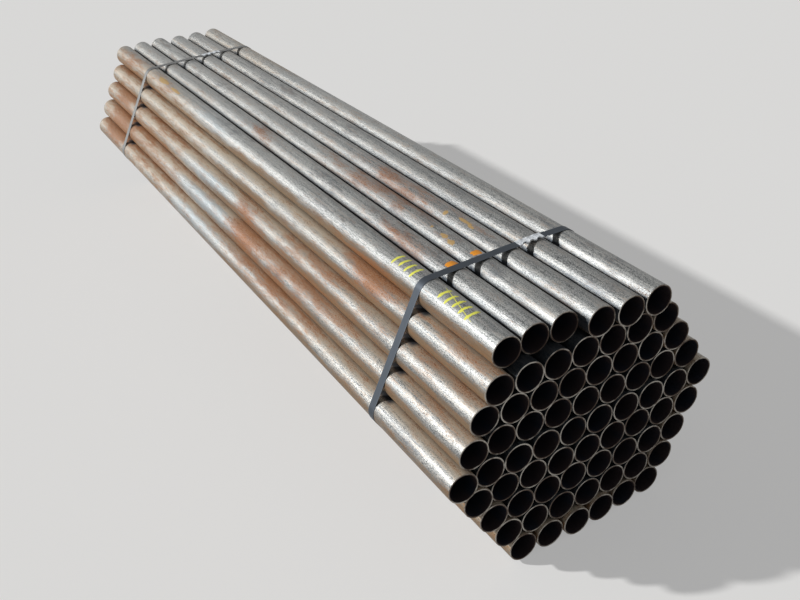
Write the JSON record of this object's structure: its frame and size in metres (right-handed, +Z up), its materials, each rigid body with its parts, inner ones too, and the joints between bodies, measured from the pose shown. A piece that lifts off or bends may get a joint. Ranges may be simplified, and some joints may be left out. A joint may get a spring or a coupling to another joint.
{
  "type": "bundle of steel pipes",
  "caption": "Hexagonal bundle of equal round steel pipes, bound by flat steel straps whose overlapped ends are held in crimped metal seals.",
  "frame": {"origin": "under the middle of the bundle's box, on the plane that the undersides of the straps rest on", "axes": "+X along the pipes towards the near end, +Y across the bundle to the right seen from the near end, +Z up"},
  "size_m": [2.243, 0.6076, 0.4853],
  "materials": {
    "pipe_steel": "black steel with mill scale, brown rust stains and bare cut rims",
    "strap_steel": "blued steel strap, dark blue grey with a low sheen",
    "seal_steel": "bright zinc-coated sheet, crimped"
  },
  "bodies": {
    "root": {"pipe_row_1": "pipe_steel", "pipe_row_2": "pipe_steel", "pipe_row_3": "pipe_steel", "pipe_row_4": "pipe_steel", "pipe_row_5": "pipe_steel", "pipe_row_6": "pipe_steel", "pipe_row_7": "pipe_steel", "pipe_row_8": "pipe_steel", "pipe_row_9": "pipe_steel", "near_strap": "strap_steel", "far_strap": "strap_steel", "near_strap_seal": "seal_steel", "far_strap_seal": "seal_steel"}
  },
  "joints": []
}
